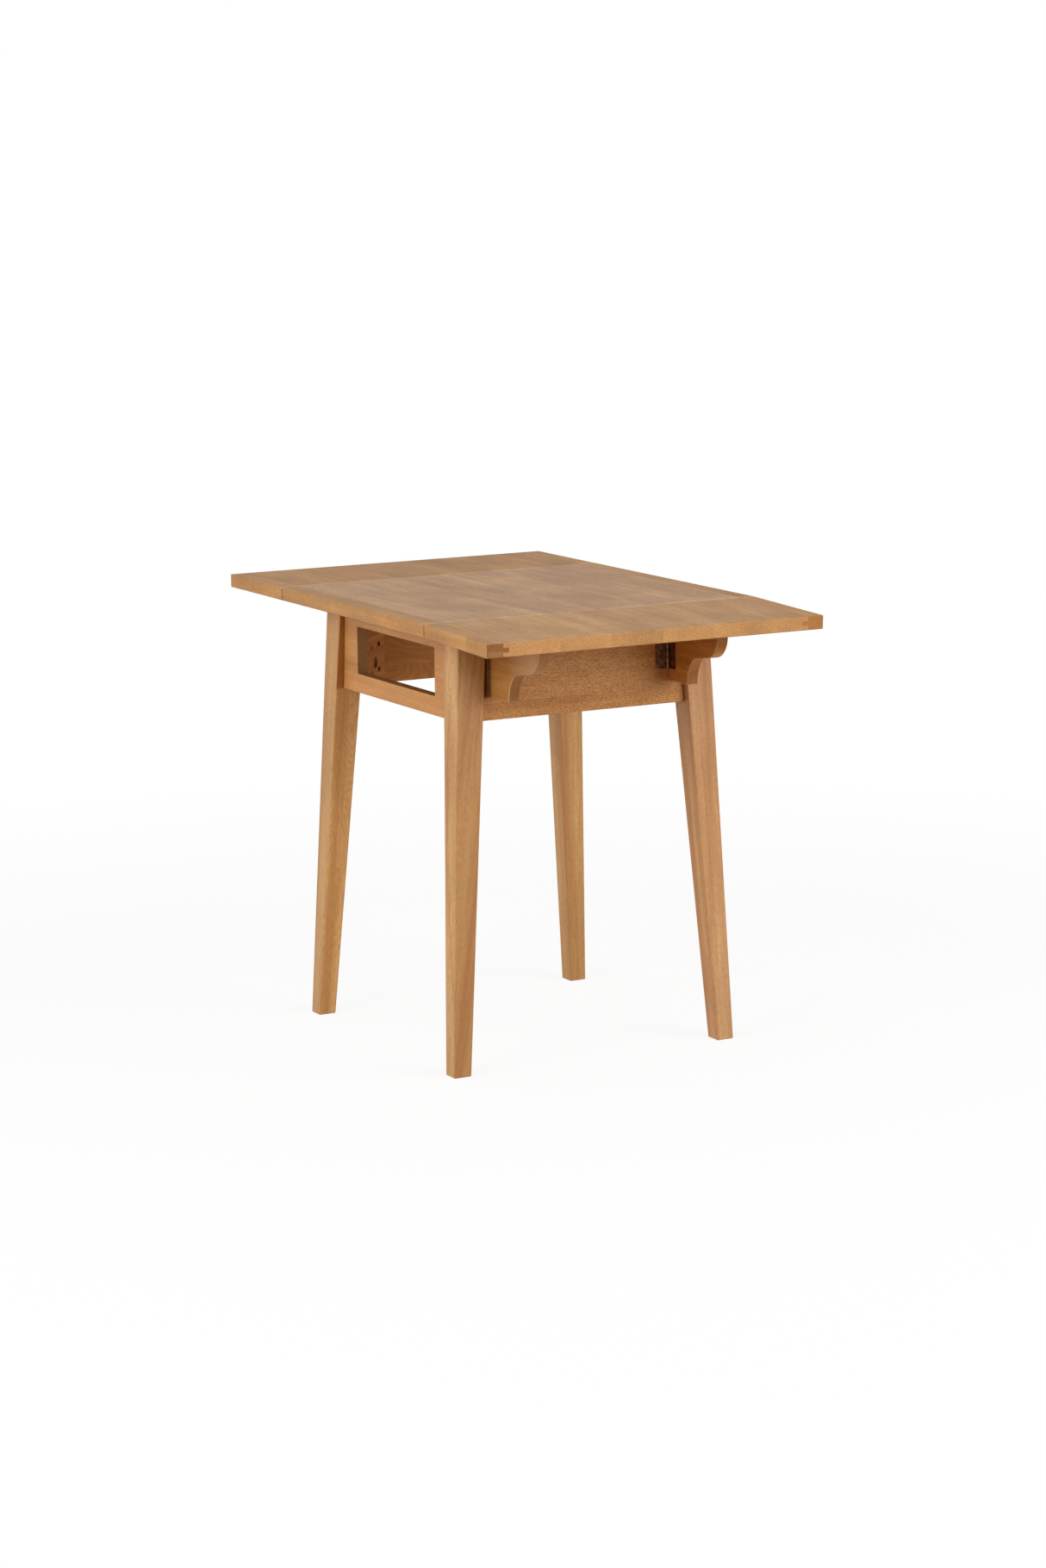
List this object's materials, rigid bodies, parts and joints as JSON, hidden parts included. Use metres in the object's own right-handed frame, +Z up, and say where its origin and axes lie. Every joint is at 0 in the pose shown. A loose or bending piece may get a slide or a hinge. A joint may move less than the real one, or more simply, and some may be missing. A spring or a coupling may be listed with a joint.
{
  "type": "drop leaf table",
  "caption": "Small wooden drop leaf table on splayed, tapered legs, with hinged leaves held up by ogee swing brackets and an open frame across each end.",
  "frame": {"origin": "on the floor, under the middle of the top", "axes": "+Z up, +X along the leaf seams, -Y towards the leaf that stands on its brackets"},
  "size_m": [0.61, 0.9459, 0.742],
  "materials": {
    "top_wood": "satin lacquer",
    "frame_wood": "satin lacquer",
    "block_wood": "sanded, unlacquered",
    "hinge_metal": "antique bronze plating",
    "fastener_steel": "zinc plated"
  },
  "bodies": {
    "frame": {"apron_back": "frame_wood", "apron_front": "frame_wood", "bracket_hinge_apron_flaps": "hinge_metal", "bracket_hinge_apron_screws": "hinge_metal", "bracket_hinge_pins": "hinge_metal", "centre_batten_left": "top_wood", "centre_batten_right": "top_wood", "centre_panel": "top_wood", "corner_block_back_left": "block_wood", "corner_block_back_right": "block_wood", "corner_block_front_left": "block_wood", "corner_block_front_right": "block_wood", "corner_block_screws": "fastener_steel", "end_cheek_back_left": "frame_wood", "end_cheek_back_right": "frame_wood", "end_cheek_front_left": "frame_wood", "end_cheek_front_right": "frame_wood", "end_rail_bottom_left": "frame_wood", "end_rail_bottom_right": "frame_wood", "end_rail_top_left": "frame_wood", "end_rail_top_right": "frame_wood", "hanger_bolt_nuts": "fastener_steel", "hanger_bolt_washers": "fastener_steel", "hanger_bolts": "fastener_steel", "leaf_hinge_panel_flaps": "hinge_metal", "leaf_hinge_panel_screws": "hinge_metal", "leaf_hinge_pins": "hinge_metal", "leg_back_left": "frame_wood", "leg_back_right": "frame_wood", "leg_front_left": "frame_wood", "leg_front_right": "frame_wood", "top_fixing_screws": "fastener_steel"},
    "leaf_front": {"leaf_front_batten_left": "top_wood", "leaf_front_batten_right": "top_wood", "leaf_front_hinge_flaps": "hinge_metal", "leaf_front_hinge_screws": "hinge_metal", "leaf_front_panel": "top_wood"},
    "bracket_front_left": {"bracket_front_left": "frame_wood", "bracket_front_left_hinge_flap": "hinge_metal", "bracket_front_left_hinge_screws": "hinge_metal"},
    "bracket_front_right": {"bracket_front_right": "frame_wood", "bracket_front_right_hinge_flap": "hinge_metal", "bracket_front_right_hinge_screws": "hinge_metal"},
    "leaf_back": {"leaf_back_batten_left": "top_wood", "leaf_back_batten_right": "top_wood", "leaf_back_hinge_flaps": "hinge_metal", "leaf_back_hinge_screws": "hinge_metal", "leaf_back_panel": "top_wood"},
    "bracket_back_left": {"bracket_back_left": "frame_wood", "bracket_back_left_hinge_flap": "hinge_metal", "bracket_back_left_hinge_screws": "hinge_metal"},
    "bracket_back_right": {"bracket_back_right": "frame_wood", "bracket_back_right_hinge_flap": "hinge_metal", "bracket_back_right_hinge_screws": "hinge_metal"}
  },
  "joints": [
    {"name": "leaf_front_lift", "type": "hinge", "parent": "frame", "child": "leaf_front", "pos_m": [0, -0.2633, 0.7169], "axis": [-1, 0, 0], "range_deg": [0, 1.9]},
    {"name": "leaf_back_drop", "type": "hinge", "parent": "frame", "child": "leaf_back", "pos_m": [0, 0.2633, 0.7169], "axis": [1, 0, 0], "range_deg": [-90, 0]},
    {"name": "bracket_front_left_fold", "type": "hinge", "parent": "frame", "child": "bracket_front_left", "pos_m": [-0.1513, -0.2341, 0.6526], "axis": [0, 0, 1], "range_deg": [-2.5, 87.5]},
    {"name": "bracket_front_right_fold", "type": "hinge", "parent": "frame", "child": "bracket_front_right", "pos_m": [0.1568, -0.2341, 0.6526], "axis": [0, 0, -1], "range_deg": [0, 90]},
    {"name": "bracket_back_left_swing_out", "type": "hinge", "parent": "frame", "child": "bracket_back_left", "pos_m": [-0.1513, 0.2341, 0.6526], "axis": [0, 0, 1], "range_deg": [0, 90]},
    {"name": "bracket_back_right_swing_out", "type": "hinge", "parent": "frame", "child": "bracket_back_right", "pos_m": [0.1568, 0.2341, 0.6526], "axis": [0, 0, -1], "range_deg": [0, 90]}
  ]
}
